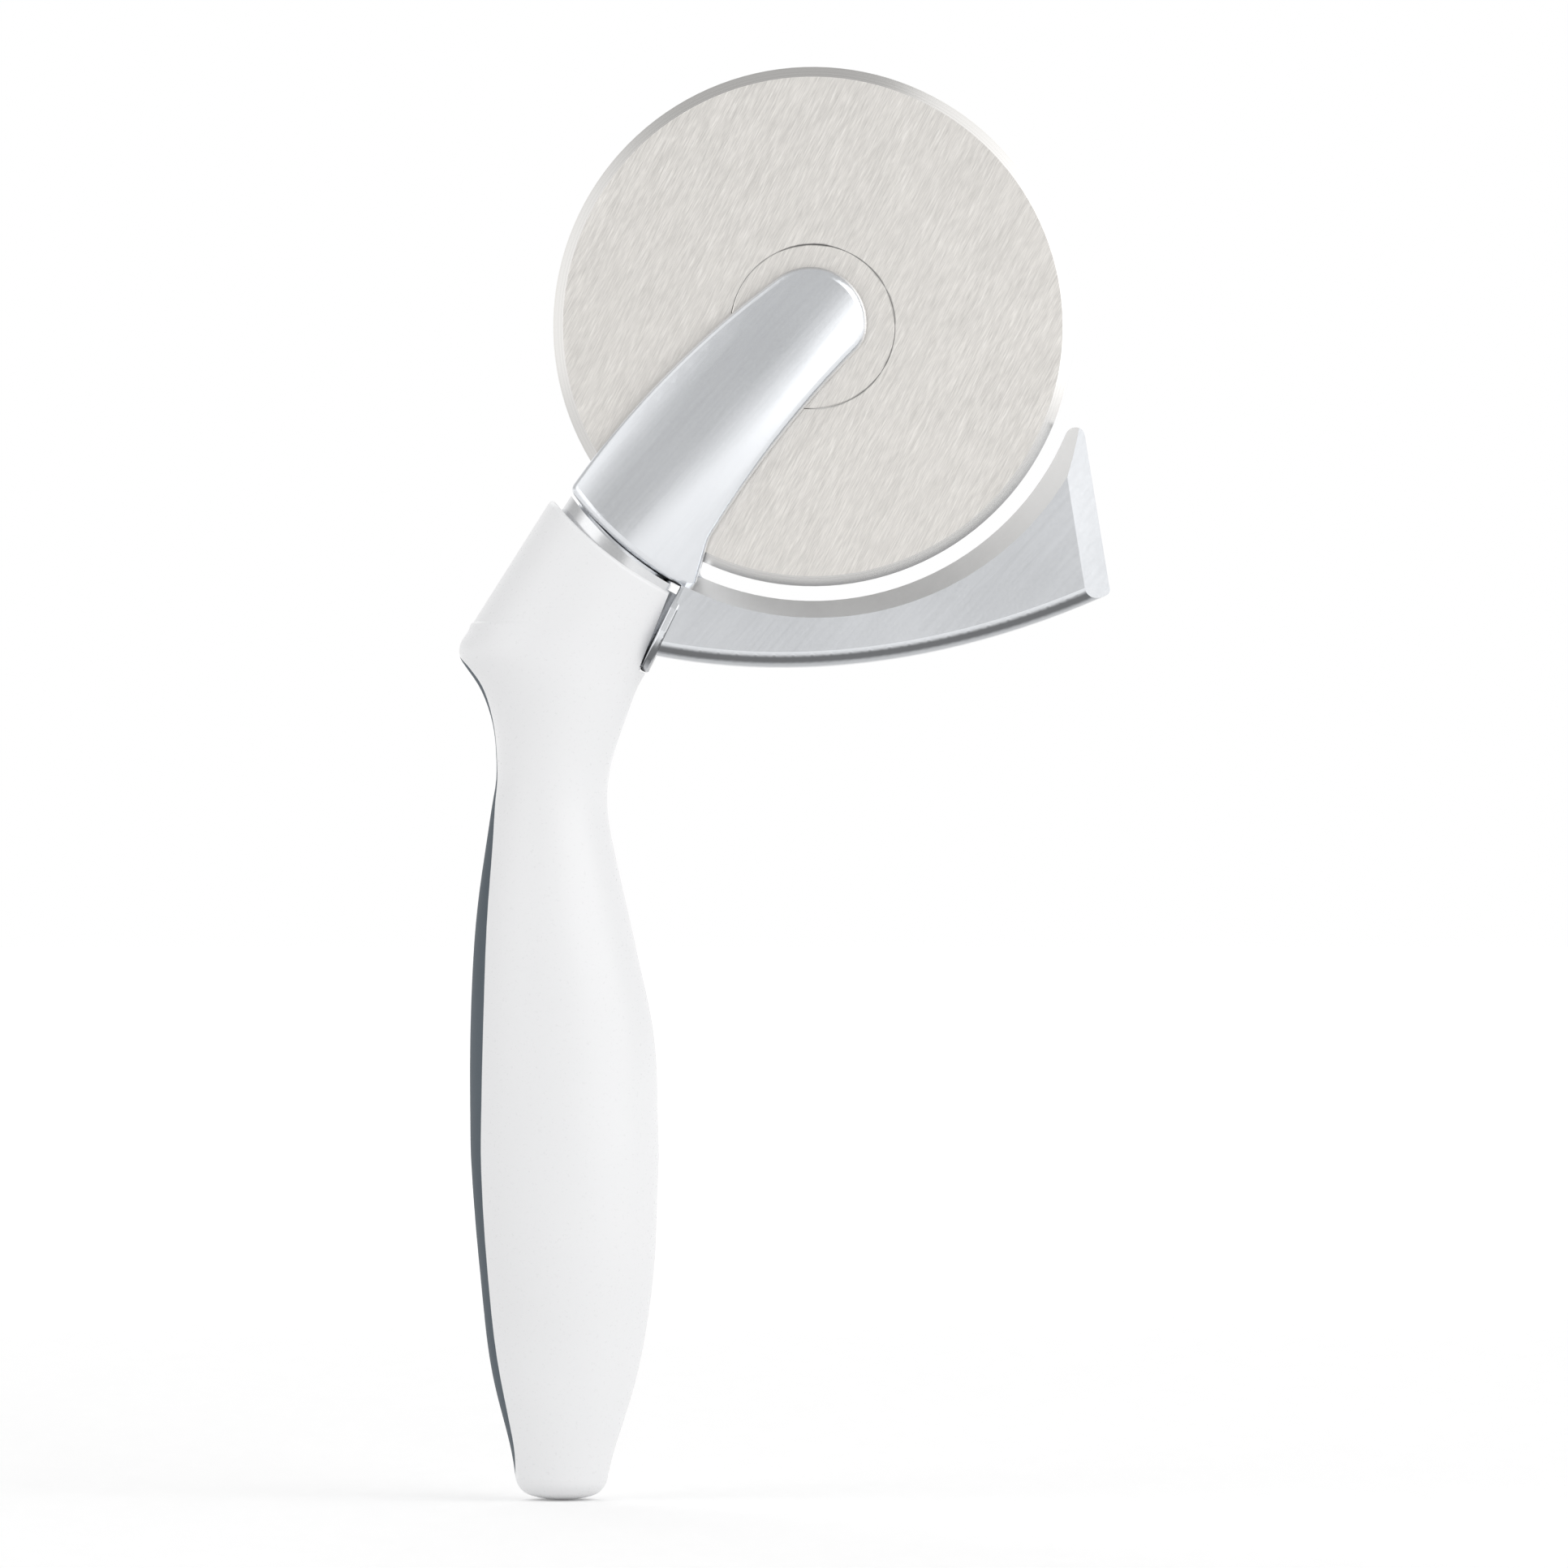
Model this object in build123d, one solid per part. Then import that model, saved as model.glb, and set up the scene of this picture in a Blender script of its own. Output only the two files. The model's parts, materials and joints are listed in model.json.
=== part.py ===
from build123d import *
from math import ceil, cos, radians, sin, sqrt
import os

# Directions: X to the right and Z up in the plane of the wheel, Y away from the viewer.
# Sizes are millimetres, angles are degrees anticlockwise from +X as seen from the front,
# and every place is measured from the wheel's centre until the parts are written.

# Wheel
blade_diameter = 76.0
blade_thickness = 1.2
bevel_width = 1.45
edge_thickness = 0.2
ring_mark_diameter = 24.0
ring_mark_width = 0.24
ring_mark_depth = 0.06

# Hub, washers and axle
axle_diameter = 5.0
running_clearance = 0.05
end_play = 0.05
bush_diameter = 9.0
hub_flange_diameter = 14.0
hub_flange_thickness = 0.7
washer_diameter = 11.0
washer_height = 0.45
spring_thickness = 0.2
thread_diameter = 3.5
thread_length = 3.4
thread_hole_spare = 0.4
screw_head_diameter = 8.2
screw_head_height = 1.7
screw_head_sink = 1.0
screw_head_chamfer = 0.3
socket_size = 3.0
socket_depth = 1.1

# Arms of the head, whose other angles are measured from the arms' own
wheel_gap = 2.2
slot_gap = 1.0
web_depth = 2.55
arm_angle = 228.8
arm_left_spread = 14.7
arm_right_hollow = 1.05
nose_radius = 8.23
nose_offset = 0.5
nose_left_angle = 257.5
nose_right_angle = 110.6
nose_corner_radius = 5.0
hip_length = 8.15
hip_angle = 15.25
hip_radius = 4.0
gap_end_angle = 16.6
crown_radius = 24.0
crown_offset = 0.3
hub_half_depth = 6.7
base_half_depth = 9.0
arm_edge_radius = 1.3
arm_corner_radius = 1.4

# Finger guard, whose depths are measured outwards from its inner rim
guard_root_angle = 243.9
guard_root_depth = 13.3
guard_throat_angle = 270.0
guard_throat_depth = 9.6
guard_rise_angle = 294.1
guard_rise_depth = 11.1
guard_end_angle = 317.97
guard_end_depth = 18.23
guard_tip_angle = 344.7
guard_tip_round = 1.4
guard_end_round = 0.8
guard_root_half_depth = 7.4
guard_end_half_depth = 8.8
guard_edge_radius = 2.2
gap_fillet_radius = 1.1
band_width = 2.2
band_depth = 3.5
end_bevel_width = 3.75
end_bevel_depth = 3.2

# Radial flange
flange_angle = 243.9
flange_thickness = 1.2
flange_length = 16.0
flange_half_depth = 8.0
flange_root_half_depth = 6.0
flange_shoulder = 3.3
flange_end_flat = 1.5
flange_edge_radius = 0.3
flange_gap = 0.15

# Handle, whose reaches are shares of its width and thickness
neck_length = 17.13
neck_angle = 232.57
grip_length = 124.1
grip_width = 27.6
grip_thickness = 21.8
flare_reach = 15.97
flare_radius = 3.0
flare_run = 3.91
barrel_lean = 32.3
rear_shares = (
    (0.0, 0.4775),
    (0.0238, 0.4215),
    (0.0633, 0.372),
    (0.1078, 0.359),
    (0.1621, 0.385),
    (0.2411, 0.4388),
    (0.3202, 0.4754),
    (0.4684, 0.4989),
    (0.6363, 0.4797),
    (0.7549, 0.4322),
    (0.8734, 0.3526),
    (0.9721, 0.249),
    (1.0206, 0.195),
)
front_shares = (
    (0.0, 0.4152),
    (0.0436, 0.3359),
    (0.083, 0.2754),
    (0.1424, 0.2283),
    (0.2016, 0.2583),
    (0.2806, 0.3359),
    (0.3597, 0.413),
    (0.4288, 0.4736),
    (0.5079, 0.4971),
    (0.5969, 0.4993),
    (0.7153, 0.4775),
    (0.7944, 0.4348),
    (0.8734, 0.3572),
    (0.9721, 0.2261),
    (1.0206, 0.175),
)
depth_shares = (
    (-0.07, 0.495),
    (-0.01, 0.49),
    (0.13, 0.40),
    (0.25, 0.43),
    (0.54, 0.50),
    (0.74, 0.465),
    (0.875, 0.38),
    (0.9721, 0.30),
    (1.0206, 0.255),
)
corner_steps = 4
corner_spacing_share = 0.36
spacing_growth_share = 1.3
widest_spacing_share = 2.4
halvings = 30
mouth_spread = 8.75
mouth_offset = 7.45
mouth_angle = 75.2
toe_gap = 2.03
toe_angle = 241.83
mouth_edge_radius = 0.6
end_dome_radius = 16.0
end_edge_radius = 3.2

# Inside the handle
shell_side_wall = 3.4
shell_face_wall = 2.6
core_end_share = 0.94
collar_seat = 2.5
collar_wall = 1.2
collar_gap = 0.4
collar_side_inset = 1.4
collar_face_inset = 1.9
collar_shift = 1.2
notch_width = 1.4
notch_depth = 1.3
plug_length = 12.45
tang_width = 7.0
tang_thickness = 2.5
tang_length = 82.0
tang_insert = 14.0
tang_hole_diameter = 3.0
tang_hole_shares = (0.45, 0.8)
pin_diameter = 2.0
pin_inset = 2.4
pin_level_shares = (0.3, 0.75)

# Soft strip on the handle's rear
strip_depth = 1.6
strip_rise = 3.2
strip_half_width = 4.9
strip_shares = (
    (-0.0154, 0.55),
    (0.0, 0.63),
    (0.0436, 0.43),
    (0.1018, 0.31),
    (0.1637, 0.65),
    (0.2617, 1.0),
    (0.6386, 0.98),
    (0.7935, 0.85),
    (0.8745, 0.77),
    (0.9143, 0.65),
    (0.9535, 0.42),
    (0.976, 0.0),
)

# How far cutting tools run past what they cut
overrun = 5.0

full_turn = 360.0
quarter_turn = 90.0

# Places that several pieces share
guard_inner_radius = blade_diameter / 2 + wheel_gap
arm_end_radius = guard_inner_radius + web_depth
guard_throat_radius = guard_inner_radius + guard_throat_depth
guard_end_radius = guard_inner_radius + guard_end_depth
flange_end_radius = guard_inner_radius + flange_length
grip_axis = (arm_end_radius + neck_length) * cos(radians(neck_angle))
flare_level = (arm_end_radius + neck_length) * sin(radians(neck_angle))
plug_end_level = flare_level - plug_length
core_end_level = flare_level - core_end_share * grip_length
grip_end_level = flare_level - grip_length

# Depths of the stack on the axle, from the middle of the blade outwards
blade_face = blade_thickness / 2
hub_face = blade_face + hub_flange_thickness
slot_half = hub_face + end_play + washer_height
bore_radius = axle_diameter / 2 + running_clearance
head_top = hub_half_depth - screw_head_sink
head_seat = head_top - screw_head_height


def polar(radius, angle):
    """A point of the side view at a distance and direction from the wheel's centre."""
    return (radius * cos(radians(angle)), radius * sin(radians(angle)))


def disc(diameter, front, back):
    """A round plate across the axle, from one depth to another."""
    return extrude(Plane.XZ.offset(-front) * Circle(diameter / 2), front - back)


def turned(points):
    """A ring turned about the axle from a section of (radius, depth) points."""
    return revolve(make_face(Polyline(*points, close=True)), Axis.Y)


def through(face, half_depth):
    """A side view face made solid to the same depth on both sides of the wheel."""
    return extrude(face, half_depth, both=True)


def rear_and_front(solid):
    """A solid with its mirror image on the other side of the wheel."""
    return [solid, mirror(solid, Plane.XZ)]


def beyond(plane):
    """Everything on the side of a plane that its normal points to."""
    size = 2 * (grip_length + blade_diameter)
    return plane * Pos(0, 0, size / 2) * Box(size, size, size)


def below(level):
    """Everything under a level."""
    return beyond(Plane((grip_axis, 0, level), z_dir=(0, 0, -1)))


def rounded(face, corners):
    """A flat face with a radius given to the corner nearest each place."""
    for place, radius in corners:
        face = fillet(face.vertices().sort_by_distance(place)[0], radius)
    return face


def make_blade():
    """The disc, bevelled to its edge from both sides, with the ring mark on its front."""
    rim = blade_diameter / 2
    mark = ring_mark_diameter / 2
    edge = edge_thickness / 2
    return turned([
        (bush_diameter / 2, -blade_face),
        (mark - ring_mark_width / 2, -blade_face),
        (mark, ring_mark_depth - blade_face),
        (mark + ring_mark_width / 2, -blade_face),
        (rim - bevel_width, -blade_face),
        (rim, -edge),
        (rim, edge),
        (rim - bevel_width, blade_face),
        (bush_diameter / 2, blade_face),
    ])


def make_hub_bush():
    """The flanged bush that passes through the blade and runs on the axle."""
    barrel = bush_diameter / 2
    flange = hub_flange_diameter / 2
    return turned([
        (bore_radius, -hub_face),
        (flange, -hub_face),
        (flange, -blade_face),
        (barrel, -blade_face),
        (barrel, hub_face),
        (bore_radius, hub_face),
    ])


def make_hub_ring():
    """The ring pressed on the bush behind the blade."""
    ring = disc(hub_flange_diameter, blade_face, hub_face)
    return ring - disc(bush_diameter, blade_face, hub_face)


def make_thrust_washer():
    """The flat washer against the near arm."""
    washer = disc(washer_diameter, -slot_half, washer_height - slot_half)
    return washer - disc(2 * bore_radius, -slot_half, washer_height - slot_half)


def make_spring_washer():
    """The coned washer, its bore against the far arm and its rim towards the wheel."""
    rim = washer_diameter / 2
    return turned([
        (bore_radius, slot_half - spring_thickness),
        (bore_radius, slot_half),
        (rim, slot_half - washer_height + spring_thickness),
        (rim, slot_half - washer_height),
    ])


def make_axle_screw():
    """The shoulder screw, its head sunk in the far arm and its thread in the near one."""
    head = screw_head_diameter / 2
    thread = thread_diameter / 2
    screw = turned([
        (0, -slot_half - thread_length),
        (thread, -slot_half - thread_length),
        (thread, -slot_half),
        (axle_diameter / 2, -slot_half),
        (axle_diameter / 2, head_seat),
        (head, head_seat),
        (head, head_top - screw_head_chamfer),
        (head - screw_head_chamfer, head_top),
        (0, head_top),
    ])
    socket = Plane.XZ.offset(-head_top) * RegularPolygon(socket_size / 2, 6, major_radius=False)
    return screw - extrude(socket, socket_depth)


# Side view plane of the arms, with its X axis from the wheel's centre to the arms' base
arm_along = (cos(radians(arm_angle)), 0, sin(radians(arm_angle)))
arm_side = Plane((0, 0, 0), x_dir=arm_along, z_dir=(0, -1, 0))


def flank(turn):
    """The hip and the gap's end, which the arms' flank joins, turned from the arms' own plane."""
    hip = Vector(*polar(arm_end_radius - hip_length, hip_angle + turn))
    gap_end = Vector(*polar(guard_inner_radius, gap_end_angle + turn))
    return hip, gap_end


def arm_outline():
    """The arms' outline: long left side, round nose, hollow right side, hip, arc at the base."""
    middle = Vector(0, -nose_offset)
    nose_left = middle + Vector(*polar(nose_radius, nose_left_angle))
    nose_tip = middle - Vector(nose_radius, 0)
    nose_right = middle + Vector(*polar(nose_radius, nose_right_angle))
    forward = Vector(*polar(nose_radius, nose_left_angle + quarter_turn))
    hip, gap_end = flank(0)
    base_right = hip + (gap_end - hip) * hip_length / (hip_length - web_depth)
    base_left = polar(arm_end_radius, -arm_left_spread)
    outline = make_face([
        TangentArc(nose_left, base_left, tangent=forward),
        ThreePointArc(nose_left, nose_tip, nose_right),
        SagittaArc(nose_right, hip, -arm_right_hollow),
        Line(hip, base_right),
        ThreePointArc(base_right, (arm_end_radius, 0), base_left),
    ])
    corners = [
        (nose_right, nose_corner_radius),
        (hip, hip_radius),
        (base_left, arm_corner_radius),
        (base_right, arm_corner_radius),
    ]
    return arm_side * rounded(outline, corners)


def crown_height(station):
    """The crown's height over the wheel's plane: a long arc, highest at the arms' base."""
    fall = base_half_depth - hub_half_depth
    sweep = (arm_end_radius**2 + fall**2) / (2 * fall)
    return base_half_depth - sweep + sqrt(sweep**2 - (arm_end_radius - station)**2)


def crown():
    """The long barrel whose skin is the near arm's crown, falling towards the nose."""
    floor = hub_half_depth - crown_radius
    stations = (-nose_radius - overrun, 0, arm_end_radius + overrun)
    start, middle, end = [(station, crown_height(station)) for station in stations]
    low_start, low_end = (start[0], floor), (end[0], floor)
    profile = make_face([ThreePointArc(start, middle, end), Polyline(end, low_end, low_start, start)])
    origin = arm_side.from_local_coords((0, -crown_offset, 0))
    section = Plane(origin, x_dir=arm_along, z_dir=-arm_side.y_dir)
    axis = Axis(section.from_local_coords((0, floor, 0)), arm_along)
    return revolve(section * profile, axis)


def hub_distance(place):
    """How far a point lies from the wheel's axis."""
    return Vector(place.X, 0, place.Z).length


def make_arms():
    """Both arms as one crowned lens with soft edges, before the slot for the wheel is cut."""
    arms = through(arm_outline(), base_half_depth + overrun)
    for barrel in rear_and_front(crown()):
        arms &= barrel
    rims = [edge for edge in arms.edges() if abs((edge @ 0.5).Y) > slot_half]
    return fillet(rims, arm_edge_radius)


def guard_outline(ends_round):
    """The guard's side view, its ends sharp or round: an arc about the wheel, a bow outside."""
    root = polar(guard_inner_radius + guard_root_depth, guard_root_angle)
    throat = polar(guard_throat_radius, guard_throat_angle)
    rise = polar(guard_inner_radius + guard_rise_depth, guard_rise_angle)
    end = polar(guard_end_radius, guard_end_angle)
    tip = polar(guard_inner_radius, guard_tip_angle)
    middle = polar(guard_inner_radius, guard_throat_angle)
    hip, gap_end = flank(arm_angle)
    wall_top = gap_end + (hip - gap_end).normalized() * wheel_gap
    heel = polar(guard_inner_radius - wheel_gap / 2, guard_root_angle)
    face = make_face([
        Spline(root, throat, rise, end),
        Line(end, tip),
        ThreePointArc(tip, middle, gap_end),
        Polyline(gap_end, wall_top, heel, root),
    ])
    ends = [(tip, guard_tip_round), (end, guard_end_round)] if ends_round else []
    return Plane.XZ * rounded(face, [(gap_end, gap_fillet_radius)] + ends)


def guard_flare():
    """The guard's plan view made solid: deeper at its end than at its root."""
    root_x, _ = polar(guard_inner_radius + guard_root_depth, guard_root_angle)
    end_x, _ = polar(guard_end_radius, guard_end_angle)
    plan = Polyline(
        (root_x, -guard_root_half_depth),
        (end_x, -guard_end_half_depth),
        (end_x, guard_end_half_depth),
        (root_x, guard_root_half_depth),
        close=True,
    )
    return extrude(make_face(plan), guard_end_radius + overrun, both=True)


def band_cutter():
    """What the chamfer along the guard's inner rim takes off, a cone about the axle."""
    slope = band_width / band_depth
    low = guard_root_half_depth - band_depth
    high = guard_end_half_depth + overrun
    return turned([
        (0, -low),
        (guard_inner_radius, -low),
        (guard_inner_radius + slope * (high - low), -high),
        (0, -high),
    ])


def end_bevel_cutter():
    """What the bevel on the guard's end takes off, a plane leaning back from its crease."""
    end = Vector(*polar(guard_end_radius, guard_end_angle))
    tip = Vector(*polar(guard_inner_radius, guard_tip_angle))
    run = tip - end
    origin = (end.X, end_bevel_depth - guard_end_half_depth, end.Y)
    along = Vector(run.X, 0, run.Y).normalized()
    across = Vector(-run.Y, 0, run.X).normalized()
    lean = across * end_bevel_width + Vector(0, -end_bevel_depth, 0)
    normal = along.cross(lean)
    return beyond(Plane(origin, x_dir=along, z_dir=normal if normal.Y < 0 else -normal))


def make_guard():
    """The finger guard, its bow rounded, its inner rim chamfered and its end bevelled."""
    guard = through(guard_outline(False), guard_end_half_depth + overrun) & guard_flare()
    bow_reach = (guard_inner_radius + guard_throat_radius) / 2
    bow = [
        edge for edge in guard.edges().filter_by(GeomType.BSPLINE)
        if abs((edge @ 0.5).Y) > slot_half and hub_distance(edge @ 0.5) > bow_reach
    ]
    guard = fillet(bow, guard_edge_radius)
    guard &= through(guard_outline(True), guard_end_half_depth + overrun)
    for cutter in (band_cutter(), end_bevel_cutter()):
        for half in rear_and_front(cutter):
            guard -= half
    return guard


# Plane of the flange, with X away from the axle and its normal towards the guard
flange_plane = Plane(
    (0, 0, 0),
    x_dir=(cos(radians(flange_angle)), 0, sin(radians(flange_angle))),
    z_dir=(-sin(radians(flange_angle)), 0, cos(radians(flange_angle))),
)


def make_flange():
    """The narrow radial flange between the handle and the guard."""
    start = blade_diameter / 2
    shoulder = arm_end_radius + flange_shoulder
    corner = flange_half_depth - flange_end_flat
    side = [
        (start, flange_root_half_depth),
        (arm_end_radius, flange_root_half_depth),
        (shoulder, flange_half_depth),
        (flange_end_radius, flange_half_depth),
    ]
    other = [(place, -half) for place, half in reversed(side)]
    outline = make_face(Polyline(*side, *other, close=True))
    outline = rounded(outline, [(side[-1], corner), (other[0], corner)])
    flange = extrude(flange_plane * outline, flange_thickness / 2, both=True)
    large_faces = flange.faces().sort_by(SortBy.AREA)[-2:]
    return fillet(large_faces.edges(), flange_edge_radius)


def grip_point(level_share, reach):
    """A point of the grip's rails, from a share of the grip under the flare and a reach across."""
    return Vector(reach, flare_level - flare_run - level_share * (grip_length - flare_run))


lean_up = Vector(sin(radians(barrel_lean)), cos(radians(barrel_lean)))


def rear_rail():
    """The handle's rear edge: the straight barrel, the flare's round corner, the grip."""
    points = [grip_point(level, grip_axis - share * grip_width) for level, share in rear_shares]
    corner = Vector(grip_axis - flare_reach, flare_level)
    top = corner + lean_up * 2 * neck_length
    flare = FilletPolyline(top, corner, points[0], radius=flare_radius)
    grip = Spline(*points, tangents=[points[0] - corner, points[-1] - points[-2]])
    return Wire(flare.edges() + grip.edges())


def front_rail():
    """The handle's front edge: the straight barrel, then the grip."""
    points = [grip_point(level, grip_axis + share * grip_width) for level, share in front_shares]
    top = points[0] + lean_up * 2 * neck_length
    grip = Spline(*points, tangents=[points[0] - top, points[-1] - points[-2]])
    return Wire([Line(top, points[0]).edge(), grip.edge()])


def depth_rail():
    """Half the handle's depth against its level."""
    return Wire([Spline(*[grip_point(level, share * grip_thickness) for level, share in depth_shares])])


def reach_at(rail, level):
    """Where a rail that falls steadily crosses a level."""
    high, low = 0.0, 1.0
    for _ in range(halvings):
        middle = (high + low) / 2
        if (rail @ middle).Y > level:
            high = middle
        else:
            low = middle
    return (rail @ high).X


def section_levels():
    """Levels of the grip's sections: close about the flare's corner, then wider and wider."""
    spacing = corner_spacing_share * flare_radius
    corner_half = corner_steps * spacing
    level = flare_level + corner_half
    levels = []
    while spacing < widest_spacing_share * flare_radius:
        levels.append(level)
        if level < flare_level - corner_half / 2:
            spacing *= spacing_growth_share
        level -= spacing
    end = grip_point(depth_shares[-1][0], 0).Y
    count = ceil((level - end) / spacing)
    return levels + [level + (end - level) * n / count for n in range(count + 1)]


def handle_body(side_inset, face_inset, end_level):
    """The handle's form down to a level, whole or drawn in: a straight barrel, a lofted grip."""
    rails = rear_rail(), front_rail(), depth_rail()
    sections = []
    for level in section_levels():
        rear, front, half_depth = [reach_at(rail, level) for rail in rails]
        half_width = (front - rear) / 2 - side_inset
        ring = EllipticalCenterArc((0, 0), half_width, half_depth - face_inset, arc_size=full_turn)
        sections.append(Pos((front + rear) / 2, 0, level) * make_face(ring))
        if level < end_level:
            break
    barrel = extrude(sections[0], 2 * neck_length, dir=(lean_up.X, 0, lean_up.Y))
    return barrel + loft(sections)


def mouth_cutter(seat):
    """The space of the head past the handle's mouth, or the same space sunk into the handle."""
    shift = -lean_up * seat
    toe = Vector(*polar(arm_end_radius + toe_gap, toe_angle))
    flange_end = flange_plane.from_local_coords(Vector(flange_end_radius + flange_gap, 0, 0))
    step = flange_plane.z_dir * (flange_thickness / 2 + flange_gap)
    facet_end = Vector(flange_end.X - step.X, flange_end.Z - step.Z)
    away = Vector(step.X, step.Z).normalized() * grip_width
    up = toe + (toe - facet_end)
    facet = make_face(Polyline(up, facet_end, facet_end + away, up + away, close=True))
    outline = Pos(*polar(mouth_offset, mouth_angle)) * Circle(arm_end_radius + mouth_spread) + facet
    return through(Plane.XZ * Pos(shift.X, shift.Y) * outline, grip_thickness)


def make_handle():
    """The whole outside of the handle, with its mouth cut and its end domed."""
    handle = handle_body(0, 0, grip_end_level) - mouth_cutter(0)
    mouth_edges = handle.faces().filter_by(GeomType.CYLINDER).edges()
    handle = fillet(mouth_edges.filter_by(GeomType.LINE, reverse=True), mouth_edge_radius)
    dome_centre = sum(reach_at(rail, grip_end_level) for rail in (rear_rail(), front_rail())) / 2
    dome_level = grip_end_level + end_dome_radius
    handle -= below(dome_level) - Pos(dome_centre, 0, dome_level) * Sphere(end_dome_radius)
    end_edges = handle.faces().sort_by(Axis.Z)[0].edges()
    return fillet(end_edges, end_edge_radius)


def make_strip_outline():
    """The leaf shape of the soft strip as seen from behind, made solid to the handle's middle."""
    side = [grip_point(level, share * strip_half_width) for level, share in strip_shares]
    other = [Vector(-point.X, point.Y) for point in side]
    top = Vector(0, flare_level - flare_run + strip_rise)
    face = make_face([Spline(*side), ThreePointArc(side[0], top, other[0]), Spline(*other)])
    return extrude(Plane.YZ.offset(grip_axis) * face, -grip_width)


def tang_place():
    """The middle of the tang's top end."""
    rear, front = [reach_at(rail, plug_end_level) for rail in (rear_rail(), front_rail())]
    return Vector((rear + front) / 2, 0, plug_end_level + tang_insert)


def make_pins():
    """The cross pins through the plug and the tang, their ends short of the plug's faces."""
    top = tang_place()
    pins = []
    for share in pin_level_shares:
        level = top.Z - share * tang_insert
        half = reach_at(depth_rail(), level) - shell_face_wall - collar_wall - pin_inset
        pins.append(Pos(top.X, 0, level) * disc(pin_diameter, -half, half))
    return pins


def make_tang():
    """The flat steel tang, with round ends, pin holes and holes that lock the core."""
    top = tang_place()
    bar = SlotOverall(tang_length, tang_width, rotation=90)
    holes = [Pos(0, tang_length * (0.5 - share)) * Circle(tang_hole_diameter / 2) for share in tang_hole_shares]
    bar = bar - holes
    tang = through(Plane.XZ * Pos(top.X, top.Z - tang_length / 2) * bar, tang_thickness / 2)
    return tang - make_pins()


def make_plug():
    """The head's plug, from the web at the arms' base down into the handle."""
    plug = handle_body(shell_side_wall + collar_wall, shell_face_wall + collar_wall, plug_end_level)
    plug -= disc(2 * arm_end_radius - web_depth / 2, -grip_thickness, grip_thickness)
    return plug - below(plug_end_level) - beyond(flange_plane)


def make_head(plug, tang, pins):
    """The head casting: arms, guard, flange and plug in one, cut for the wheel and the screw."""
    head = make_arms() + make_guard() + make_flange() + plug
    head -= disc(blade_diameter + 2 * slot_gap, -slot_half, slot_half)
    head -= disc(2 * bore_radius, slot_half, head_top)
    head -= disc(screw_head_diameter + 2 * running_clearance, head_seat, hub_half_depth + overrun)
    head -= disc(thread_diameter, -slot_half - thread_length - thread_hole_spare, -slot_half)
    return head - tang - pins


def make_collar(inside, plug):
    """The bright collar between the arms and the handle, with its pad under the flange."""
    form = Pos(collar_shift, 0, 0) * handle_body(collar_side_inset, collar_face_inset, plug_end_level)
    flange_face = flange_plane.offset(-flange_thickness / 2)
    collar = (inside & mouth_cutter(collar_seat)) + (form & mouth_cutter(0))
    collar -= disc(2 * (arm_end_radius + collar_gap), -grip_thickness, grip_thickness)
    notch = disc(2 * (arm_end_radius + notch_depth), -grip_thickness, grip_thickness)
    collar -= notch & beyond(flange_face.offset(-notch_width))
    return collar - beyond(flange_face) - plug


plug = make_plug()
tang = make_tang()
pins = make_pins()
inside = handle_body(shell_side_wall, shell_face_wall, grip_end_level) - below(core_end_level)
handle = make_handle()
wall = handle - inside
strip = (make_strip_outline() & wall) - handle_body(strip_depth, strip_depth, grip_end_level)

parts = {
    "blade": make_blade(),
    "hub_bush": make_hub_bush(),
    "hub_ring": make_hub_ring(),
    "thrust_washer": make_thrust_washer(),
    "spring_washer": make_spring_washer(),
    "axle_screw": make_axle_screw(),
    "head_casting": make_head(plug, tang, pins),
    "neck_collar": make_collar(inside, plug),
    "tang": tang,
    "tang_pins": Compound(pins),
    "handle_core": inside - mouth_cutter(collar_seat) - plug - tang,
    "handle_shell": wall - strip,
    "grip_strip": strip,
}

# The parts are written about the middle of the whole tool's bounding box
middle = Compound(list(parts.values())).bounding_box().center()
os.makedirs("parts", exist_ok=True)
for name, part in parts.items():
    export_step(Pos(-middle) * part, f"parts/{name}.step")
print("wheel centre", -middle)
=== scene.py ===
import json
import math

import bpy
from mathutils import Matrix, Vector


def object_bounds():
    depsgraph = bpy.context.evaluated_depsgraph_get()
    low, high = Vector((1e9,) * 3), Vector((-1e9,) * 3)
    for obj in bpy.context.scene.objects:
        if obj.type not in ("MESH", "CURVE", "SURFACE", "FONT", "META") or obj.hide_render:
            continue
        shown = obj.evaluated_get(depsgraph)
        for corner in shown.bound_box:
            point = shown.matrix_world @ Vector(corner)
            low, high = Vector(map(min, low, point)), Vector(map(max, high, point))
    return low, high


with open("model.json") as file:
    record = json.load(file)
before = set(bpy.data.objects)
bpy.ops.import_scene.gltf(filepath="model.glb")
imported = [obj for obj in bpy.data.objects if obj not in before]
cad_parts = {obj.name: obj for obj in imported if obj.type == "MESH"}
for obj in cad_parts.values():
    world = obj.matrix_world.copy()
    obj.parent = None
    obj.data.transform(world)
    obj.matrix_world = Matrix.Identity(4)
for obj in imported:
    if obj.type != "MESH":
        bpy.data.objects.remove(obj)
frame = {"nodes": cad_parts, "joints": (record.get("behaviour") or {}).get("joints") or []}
cad_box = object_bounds()
nodes = frame["nodes"]

# Lengths are metres, scales of noise are waves a metre and colours are linear red, green and blue.
# The object stands as the frame has it: X to the right, Y away from the camera and Z up.

# The wheel's centre, and radii about it: of the mark round the hub, of a circle inside the ground
# bevel and of the guard's start. Each border there fades over a short run.
WHEEL = tuple(frame["joints"][0]["pos_m"])
MARK_RADIUS = 0.012
BEVEL_START = 0.03
GUARD_START = 0.0428
BORDER = 0.001

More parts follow.
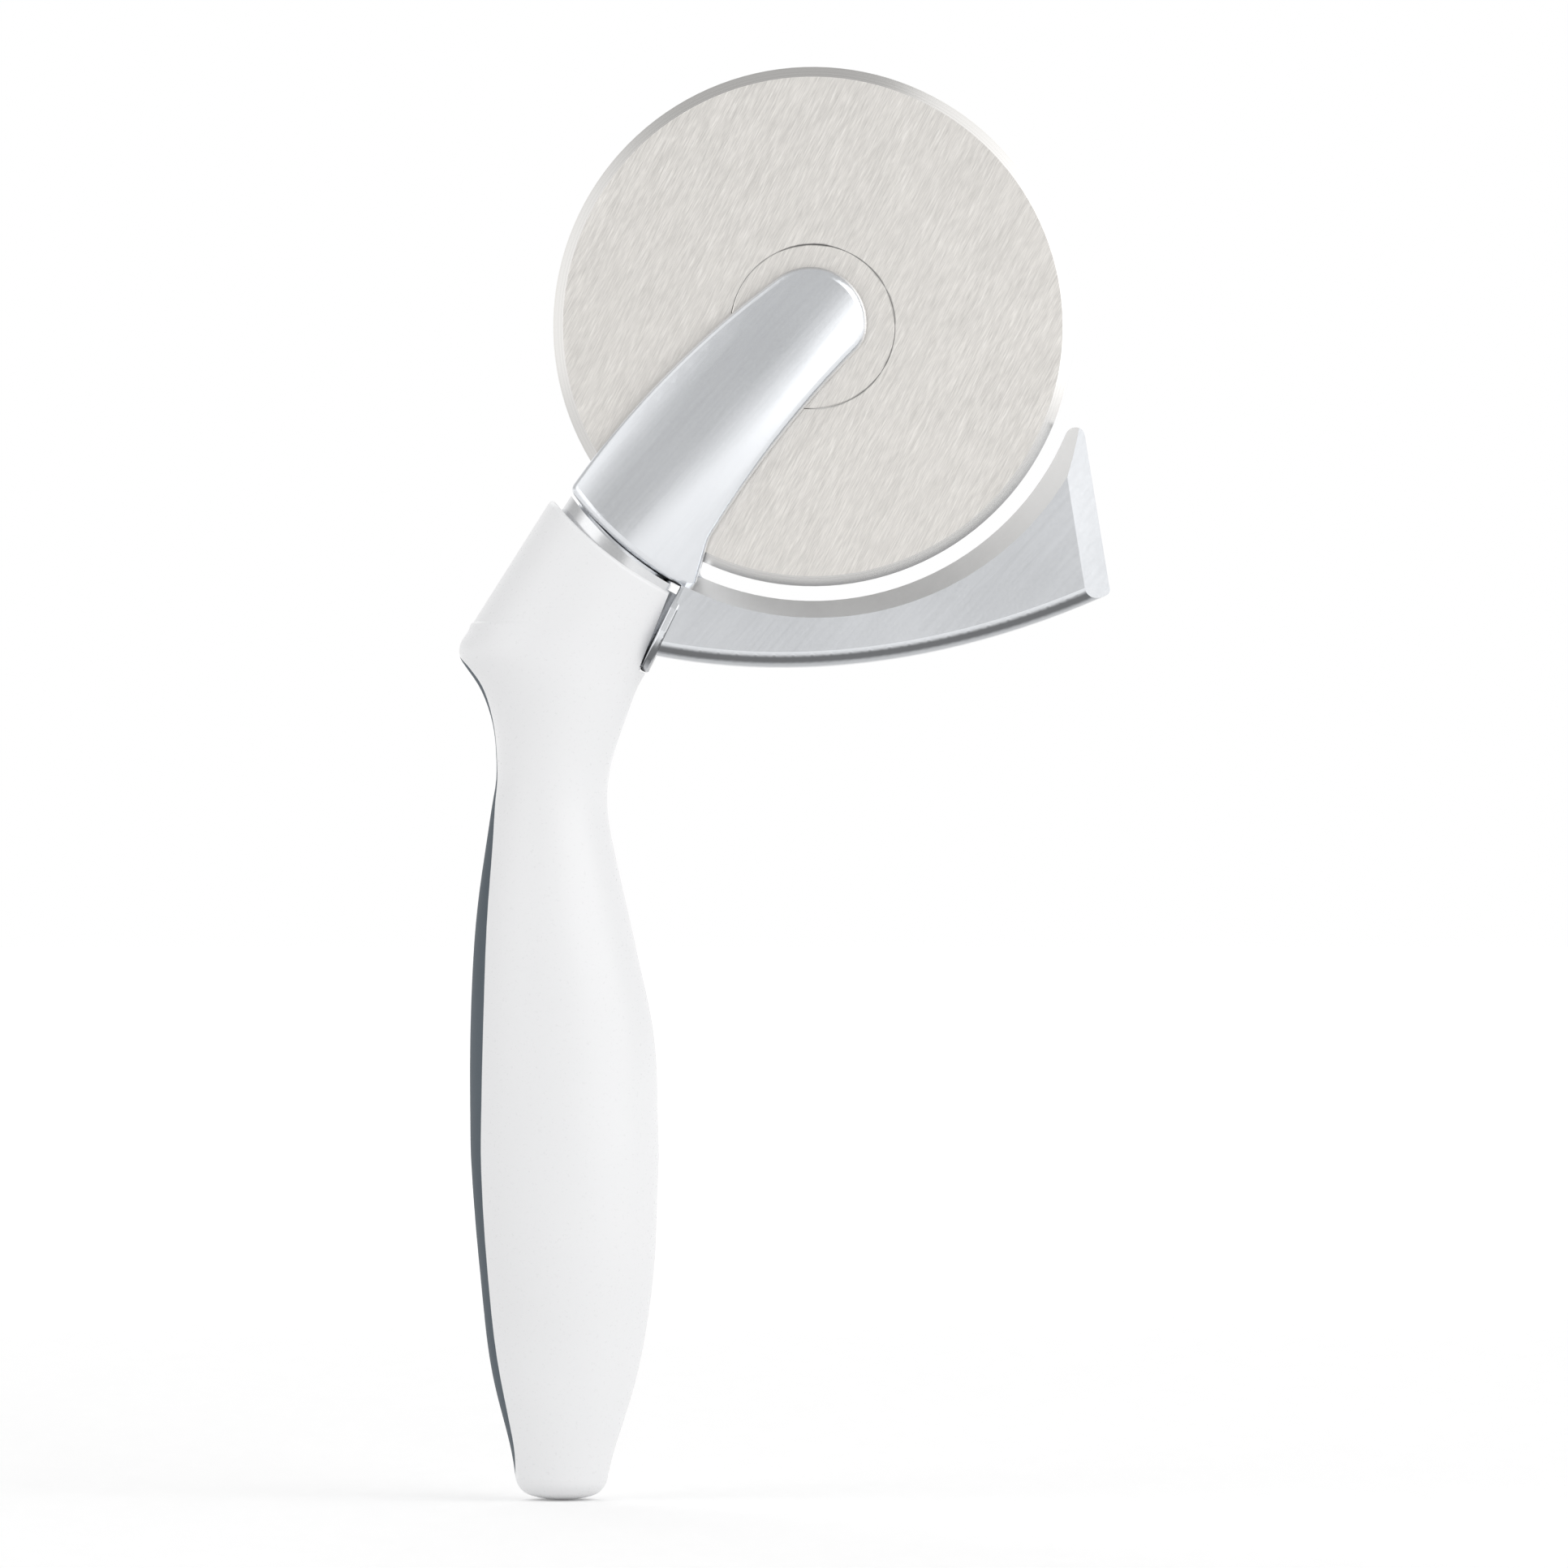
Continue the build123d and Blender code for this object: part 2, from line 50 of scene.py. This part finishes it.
# Directions of the wheel's brushing, of its longer hairs and of the arms, in radians from level
BRUSH_LEAN = math.radians(60)
HAIR_LEAN = BRUSH_LEAN + 0.06
ARM_LEAN = math.radians(48.8)

# Streaks on metal, as noise scales across and along them, and the fine rings that grinding leaves
FINE_STREAKS = (9000, 620)
HAIR_STREAKS = (5400, 330)
BROAD_STREAKS = (900, 110)
POLISH_STREAKS = (1500, 60)
GROUND_RINGS = 9000
GROUND_ROUGHNESS = 0.2

# The range that most of a noise keeps to, alone or in a sum of several, and the range of a share
ALONE = (0.3, 0.7)
SUMMED = (0.36, 0.64)
FULL = (0, 1)

# Colours of the surfaces, mostly as a dark and a light tone that noise blends
BRUSHED_TONES = (0.67, 0.65, 0.621), (0.925, 0.898, 0.86)
SCRATCH_COLOUR = (0.97, 0.95, 0.92)
CLOUD_COLOUR = (0.8, 0.776, 0.742)
MARK_COLOUR = (0.1, 0.098, 0.095)
GROUND_TONES = (0.56, 0.55, 0.535), (0.71, 0.7, 0.685)
HEAD_TONES = (0.71, 0.726, 0.75), (0.775, 0.791, 0.815)
# The near black painted as shade on the guard's downward faces, in place of a dark reflection from
# below
UNDERSIDE_SHADE_COLOUR = (0.06, 0.062, 0.065)
COLLAR_TONES = (0.64, 0.645, 0.655), (0.72, 0.725, 0.735)
STEEL_TONES = (0.6, 0.6, 0.61), (0.72, 0.72, 0.73)
HANDLE_TONES = (0.87, 0.872, 0.88), (0.9, 0.902, 0.91)
STRIP_TONES = (0.082, 0.102, 0.12), (0.112, 0.134, 0.155)
NYLON_TONES = (0.68, 0.66, 0.6), (0.74, 0.72, 0.66)
CORE_TONES = (0.07, 0.07, 0.075), (0.1, 0.1, 0.105)
FLOOR_TONES = (0.88, 0.88, 0.88), (0.91, 0.91, 0.91)
WHITE = (1, 1, 1, 1)

# The floor's half width, and its own glow near the object and far from it
FLOOR_HALF = 6.0
GLOW_RUN = (0.5, 1.8)
GLOW = (0.2, 0.42)

# The room's light by direction: from dim to bright across the front, what its left and its right
# add, the level beside the object, and the white behind it and on the horizon
FRONT_LIGHT = (0.64, 1.12)
LEFT_EXTRA = 0.5
RIGHT_EXTRA = 0.1
SIDE_LIGHT = 0.66
WHITE_LIGHT = 1.0

# The photograph's width in pixels and a pixel's size at the object, the lens and the sensor in
# millimetres, and the camera's height and reach
PHOTO_PIXELS = 1932
PIXEL = 0.00011875
LENS = 280.0
SENSOR = 36.0
CAMERA_HEIGHT = -0.0001
CAMERA_REACH = 20

# Sockets of the colour Mix node, whose names repeat
MIX_FACTOR, MIX_FIRST, MIX_SECOND, MIX_RESULT = 0, 6, 7, 2


class Tree:
    """A node tree: each call adds a node and gives back its output."""

    def __init__(self, tree):
        self.tree = tree

    def node(self, kind, **values):
        made = self.tree.nodes.new(kind)
        for name, value in values.items():
            setattr(made, name, value)
        return made

    def set(self, target, value):
        """Links an output to a socket, or writes a plain value in it."""
        if isinstance(value, bpy.types.NodeSocket):
            self.tree.links.new(value, target)
        else:
            target.default_value = value

    def math(self, operation, *values):
        made = self.node("ShaderNodeMath", operation=operation)
        for socket, value in zip(made.inputs, values):
            self.set(socket, value)
        return made.outputs[0]

    def weigh(self, *layers):
        """The sum of outputs, each taken by its share."""
        (output, share), *others = layers
        total = self.math("MULTIPLY", output, share)
        for output, share in others:
            total = self.math("MULTIPLY_ADD", output, share, total)
        return total

    def vector_math(self, operation, *values):
        made = self.node("ShaderNodeVectorMath", operation=operation)
        for socket, value in zip(made.inputs, values):
            self.set(socket, value)
        return made.outputs["Value" if operation == "LENGTH" else "Vector"]

    def axes(self, vector):
        made = self.node("ShaderNodeSeparateXYZ")
        self.set(made.inputs[0], vector)
        return made.outputs

    def combine(self, x, y, z):
        made = self.node("ShaderNodeCombineXYZ")
        for socket, value in zip(made.inputs, (x, y, z)):
            self.set(socket, value)
        return made.outputs[0]

    def span(self, value, source, target, smooth=False):
        """A value carried from one range to another and held at its ends."""
        kind = "SMOOTHSTEP" if smooth else "LINEAR"
        made = self.node("ShaderNodeMapRange", interpolation_type=kind)
        names = ("Value", "From Min", "From Max", "To Min", "To Max")
        for name, number in zip(names, (value, *source, *target)):
            self.set(made.inputs[name], number)
        return made.outputs["Result"]

    def blend(self, factor, *colours):
        """From the first colour to the second as the factor goes from 0 to 1."""
        made = self.node("ShaderNodeMix", data_type="RGBA")
        self.set(made.inputs[MIX_FACTOR], factor)
        for index, value in zip((MIX_FIRST, MIX_SECOND), colours):
            if not isinstance(value, bpy.types.NodeSocket):
                value = (*value, 1.0)
            self.set(made.inputs[index], value)
        return made.outputs[MIX_RESULT]


class Look(Tree):
    """A material whose colour, roughness and bump come from nodes in the object's own space."""

    def __init__(self, name, metallic=0.0):
        self.material = bpy.data.materials.new(name)
        self.material.use_nodes = True
        super().__init__(self.material.node_tree)
        self.shader = self.tree.nodes["Principled BSDF"]
        self.put("Metallic", metallic)
        self.place = self.node("ShaderNodeTexCoord").outputs["Object"]

    def put(self, socket, value):
        self.set(self.shader.inputs[socket], value)

    def noise(self, scale, detail=2.0, rough=0.5, source=None):
        made = self.node("ShaderNodeTexNoise")
        self.set(made.inputs["Vector"], self.place if source is None else source)
        self.set(made.inputs["Scale"], scale)
        self.set(made.inputs["Detail"], detail)
        self.set(made.inputs["Roughness"], rough)
        return made.outputs["Fac"]

    def grain(self, scale, source=None):
        return self.noise(scale, 3.0, 0.6, source)

    def streaks(self, lean, scales, detail=3.0):
        """Noise drawn out along a direction of the wheel's plane, turned first and then scaled."""
        across, along = scales
        turned = self.node("ShaderNodeMapping")
        self.set(turned.inputs["Vector"], self.place)
        self.set(turned.inputs["Rotation"], (0, lean, 0))
        sizes = (along, across / 2, across)
        drawn = self.vector_math("MULTIPLY", turned.outputs["Vector"], sizes)
        return self.noise(1.0, detail, 0.6, drawn)

    def bump(self, height, strength, distance):
        made = self.node("ShaderNodeBump")
        self.set(made.inputs["Strength"], strength)
        self.set(made.inputs["Distance"], distance)
        self.set(made.inputs["Height"], height)
        self.put("Normal", made.outputs["Normal"])

    def facing(self):
        """The parts along X, Y and Z of the surface's direction."""
        return self.axes(self.node("ShaderNodeNewGeometry").outputs["Normal"])

    def from_axle(self):
        """The place measured from the axle in the wheel's plane, and its distance from it."""
        offset = self.vector_math("SUBTRACT", self.place, WHEEL)
        flat = self.vector_math("MULTIPLY", offset, (1, 0, 1))
        return flat, self.vector_math("LENGTH", flat)


def dress(node, look):
    """Gives a CAD node one material on every slot."""
    mesh = nodes[node].data
    mesh.materials.clear()
    mesh.materials.append(look.material)
    for face in mesh.polygons:
        face.material_index = 0


def brushed(look, hair, tone):
    """The colour of the wheel's brushed faces: streaks, bright scratches and a slow cloud."""
    scratched = look.span(hair, (0.62, 0.72), (0, 0.6))
    clouded = look.span(look.noise(30), (0.35, 0.65), (0, 0.25))
    face = look.blend(look.span(tone, SUMMED, FULL), *BRUSHED_TONES)
    return look.blend(clouded, look.blend(scratched, face, SCRATCH_COLOUR), CLOUD_COLOUR)


def hub_mark(look, flat, radius):
    """Where the mark round the hub is dark: a line of uneven width, worn away at the left."""
    x, _, z = look.axes(flat)
    off_mark = look.math("ABSOLUTE", look.math("SUBTRACT", radius, MARK_RADIUS))
    width = look.span(look.noise(420), ALONE, (0.00008, 0.0003))
    kept = look.span(look.math("MULTIPLY_ADD", z, 0.5, x), (-0.011, 0.006), (0.2, 1.0))
    return look.math("MULTIPLY", look.span(off_mark, (0, width), (1, 0)), kept)


def wheel_steel():
    """Brushed sheet with short leaning streaks, a ground bevel and a worn mark round the hub."""
    look = Look("wheel_steel", metallic=1.0)
    fine = look.streaks(BRUSH_LEAN, FINE_STREAKS)
    hair = look.streaks(HAIR_LEAN, HAIR_STREAKS)
    broad = look.streaks(BRUSH_LEAN, BROAD_STREAKS, detail=2.0)
    tone = look.weigh((hair, 0.46), (fine, 0.42), (broad, 0.12))
    flat, radius = look.from_axle()
    face = look.blend(hub_mark(look, flat, radius), brushed(look, hair, tone), MARK_COLOUR)
    rings = look.combine(look.math("MULTIPLY", radius, GROUND_RINGS), 0, 0)
    ground = look.blend(look.span(look.grain(1.0, rings), ALONE, FULL), *GROUND_TONES)
    level = look.math("ABSOLUTE", look.facing()[1])
    sloping = look.span(level, (0.99, 0.97), FULL)
    outside = look.span(radius, (BEVEL_START, BEVEL_START + BORDER), FULL)
    on_bevel = look.math("MULTIPLY", sloping, outside)
    look.put("Base Color", look.blend(on_bevel, face, ground))
    face_roughness = look.span(tone, SUMMED, (0.3, 0.4))
    look.put("Roughness", look.span(on_bevel, FULL, (face_roughness, GROUND_ROUGHNESS)))
    look.bump(tone, 0.1, 0.00003)
    return look


def head_chrome():
    """Satin chrome over a casting, with painted shade darkening the downward faces of its guard.
    """
    look = Look("head_chrome", metallic=1.0)
    speck = look.grain(2600)
    polish = look.streaks(ARM_LEAN, POLISH_STREAKS)
    tone = look.weigh((look.noise(45), 0.45), (speck, 0.25), (polish, 0.3))
    skin = look.blend(look.span(tone, SUMMED, FULL), *HEAD_TONES)
    # Painted shade: where the guard's faces turn downward its colour darkens toward a near black,
    # standing in for a dark reflection from below
    upward = look.facing()[2]
    under = look.span(upward, (-0.1, -0.42), (0, 0.85), smooth=True)
    bottom = look.span(upward, (-0.62, -0.85), (0, 0.5), smooth=True)
    _, radius = look.from_axle()
    on_guard = look.span(radius, (GUARD_START, GUARD_START + BORDER), FULL)
    painted_shade = look.math("MULTIPLY", look.math("SUBTRACT", under, bottom), on_guard)
    look.put("Base Color", look.blend(painted_shade, skin, UNDERSIDE_SHADE_COLOUR))
    look.put("Roughness", look.span(tone, SUMMED, (0.17, 0.25)))
    look.bump(speck, 0.03, 0.00002)
    return look


def plain_metal(name, tones, roughness, scale):
    """Turned, stamped or polished metal with a faint grain."""
    look = Look(name, metallic=1.0)
    speck = look.grain(scale)
    tone = look.weigh((look.noise(40), 0.6), (speck, 0.4))
    look.put("Base Color", look.blend(look.span(tone, ALONE, FULL), *tones))
    look.put("Roughness", look.span(speck, ALONE, (roughness * 0.85, roughness * 1.2)))
    look.bump(speck, 0.04, 0.00002)
    return look


def moulded(name, tones, roughness, scale, depth):
    """Moulded plastic: slow changes of tone over a fine skin."""
    look = Look(name)
    speck = look.grain(scale)
    tone = look.weigh((look.noise(30), 0.8), (speck, 0.2))
    look.put("Base Color", look.blend(look.span(tone, ALONE, FULL), *tones))
    look.put("Roughness", look.span(speck, ALONE, (roughness * 0.88, roughness * 1.12)))
    look.bump(speck, 0.08, depth)
    return look


def soft_strip():
    """Matt soft plastic with a fine leather-like skin."""
    look = Look("strip_grey")
    look.put("Specular IOR Level", 0.2)
    speck = look.noise(5200, detail=4.0, rough=0.65)
    tone = look.weigh((look.noise(38), 0.55), (speck, 0.45))
    look.put("Base Color", look.blend(look.span(tone, ALONE, FULL), *STRIP_TONES))
    look.put("Roughness", look.span(speck, ALONE, (0.55, 0.7)))
    look.bump(speck, 0.25, 0.00005)
    return look


def dress_all():
    """Gives every node of the frame its material."""
    collar = plain_metal("collar_chrome", COLLAR_TONES, roughness=0.16, scale=1800)
    steel = plain_metal("plain_steel", STEEL_TONES, roughness=0.3, scale=3000)
    handle = moulded("handle_white", HANDLE_TONES, roughness=0.3, scale=2600, depth=0.00001)
    nylon = moulded("hub_plastic", NYLON_TONES, roughness=0.45, scale=2500, depth=0.00003)
    core = moulded("core_plastic", CORE_TONES, roughness=0.5, scale=2500, depth=0.00003)
    for look, members in (
        (wheel_steel(), ["blade"]),
        (head_chrome(), ["head_casting"]),
        (collar, ["neck_collar"]),
        (steel, ["axle_screw", "thrust_washer", "spring_washer", "tang", "tang_pins"]),
        (handle, ["handle_shell"]),
        (soft_strip(), ["grip_strip"]),
        (nylon, ["hub_bush", "hub_ring"]),
        (core, ["handle_core"]),
    ):
        for node in members:
            dress(node, look)


def seen(tree):
    """One for camera, glossy and transmission rays, and zero for the light on the object."""
    path = tree.node("ShaderNodeLightPath")
    first = tree.math("MAXIMUM", path.outputs["Is Camera Ray"], path.outputs["Is Glossy Ray"])
    return tree.math("MAXIMUM", first, path.outputs["Is Transmission Ray"])


def stage_floor():
    """A plain pale floor under the object, raised to white where it is only looked at."""
    low = cad_box[0][2]
    mesh = bpy.data.meshes.new("floor")
    sides = ((-1, -1), (1, -1), (1, 1), (-1, 1))
    corners = [(x * FLOOR_HALF, y * FLOOR_HALF, low) for x, y in sides]
    mesh.from_pydata(corners, [], [(0, 1, 2, 3)])
    floor = bpy.data.objects.new("floor", mesh)
    bpy.context.scene.collection.objects.link(floor)
    look = Look("floor_paper")
    look.put("Base Color", look.blend(look.span(look.noise(300), ALONE, FULL), *FLOOR_TONES))
    look.put("Roughness", 0.9)
    look.put("Specular IOR Level", 0.0)
    glow = look.span(look.vector_math("LENGTH", look.place), GLOW_RUN, GLOW, smooth=True)
    look.put("Emission Color", WHITE)
    look.put("Emission Strength", look.math("MULTIPLY", seen(look), glow))
    mesh.materials.append(look.material)


def studio():
    """A soft room: white behind the object, dimmer beside it, and brightest ahead at the right."""
    world = bpy.data.worlds.new("studio")
    world.use_nodes = True
    bpy.context.scene.world = world
    room = Tree(world.node_tree)
    x, y, z = room.axes(room.node("ShaderNodeTexCoord").outputs["Generated"])
    slant = room.weigh((z, -0.66), (x, 0.75))
    light = room.span(slant, (-0.08, 0.3), FRONT_LIGHT, smooth=True)
    left = room.span(x, (-0.3, -0.65), (0, LEFT_EXTRA), smooth=True)
    right = room.span(x, (0.3, 0.8), (0, RIGHT_EXTRA), smooth=True)
    light = room.math("ADD", room.math("ADD", light, left), right)
    beside = room.span(y, (-0.25, 0.1), FULL, smooth=True)
    light = room.span(beside, FULL, (light, SIDE_LIGHT))
    horizon = room.span(room.math("ABSOLUTE", z), (0.07, 0.18), (1, 0), smooth=True)
    horizon = room.math("MULTIPLY", horizon, room.span(y, (-0.6, -0.3), FULL, smooth=True))
    white = room.math("MAXIMUM", horizon, room.span(y, (0.45, 0.85), FULL, smooth=True))
    shade = room.tree.nodes["Background"]
    room.set(shade.inputs["Color"], WHITE)
    room.set(shade.inputs["Strength"], room.span(white, FULL, (light, WHITE_LIGHT)))


def lamp(name, place, size, watts):
    """A soft rectangular lamp turned to the object."""
    data = bpy.data.lights.new(name, "AREA")
    data.shape = "RECTANGLE"
    data.size, data.size_y = size
    data.energy = watts
    made = bpy.data.objects.new(name, data)
    made.location = place
    made.rotation_euler = made.location.to_track_quat("Z", "Y").to_euler()
    bpy.context.scene.collection.objects.link(made)


def aim_camera():
    """A long lens level with the middle of the object, framed as the photograph is."""
    camera = bpy.data.objects.new("camera", bpy.data.cameras.new("camera"))
    camera.data.lens = LENS
    camera.data.sensor_width = SENSOR
    camera.data.clip_end = CAMERA_REACH
    camera.location = (0.0, -PHOTO_PIXELS * PIXEL * LENS / SENSOR, CAMERA_HEIGHT)
    camera.rotation_euler = (math.radians(90), 0, 0)
    bpy.context.scene.collection.objects.link(camera)
    bpy.context.scene.camera = camera
    bpy.context.scene.view_settings.view_transform = "Standard"


dress_all()
stage_floor()
studio()
lamp("right_box", place=(0.9, -0.8, 0.3), size=(1.3, 1.5), watts=4.8)
lamp("left_box", place=(-1.2, -0.9, 0.4), size=(1.0, 1.2), watts=1.0)
lamp("back_box", place=(-0.3, 1.6, 1.2), size=(1.2, 1.0), watts=3.5)
aim_camera()
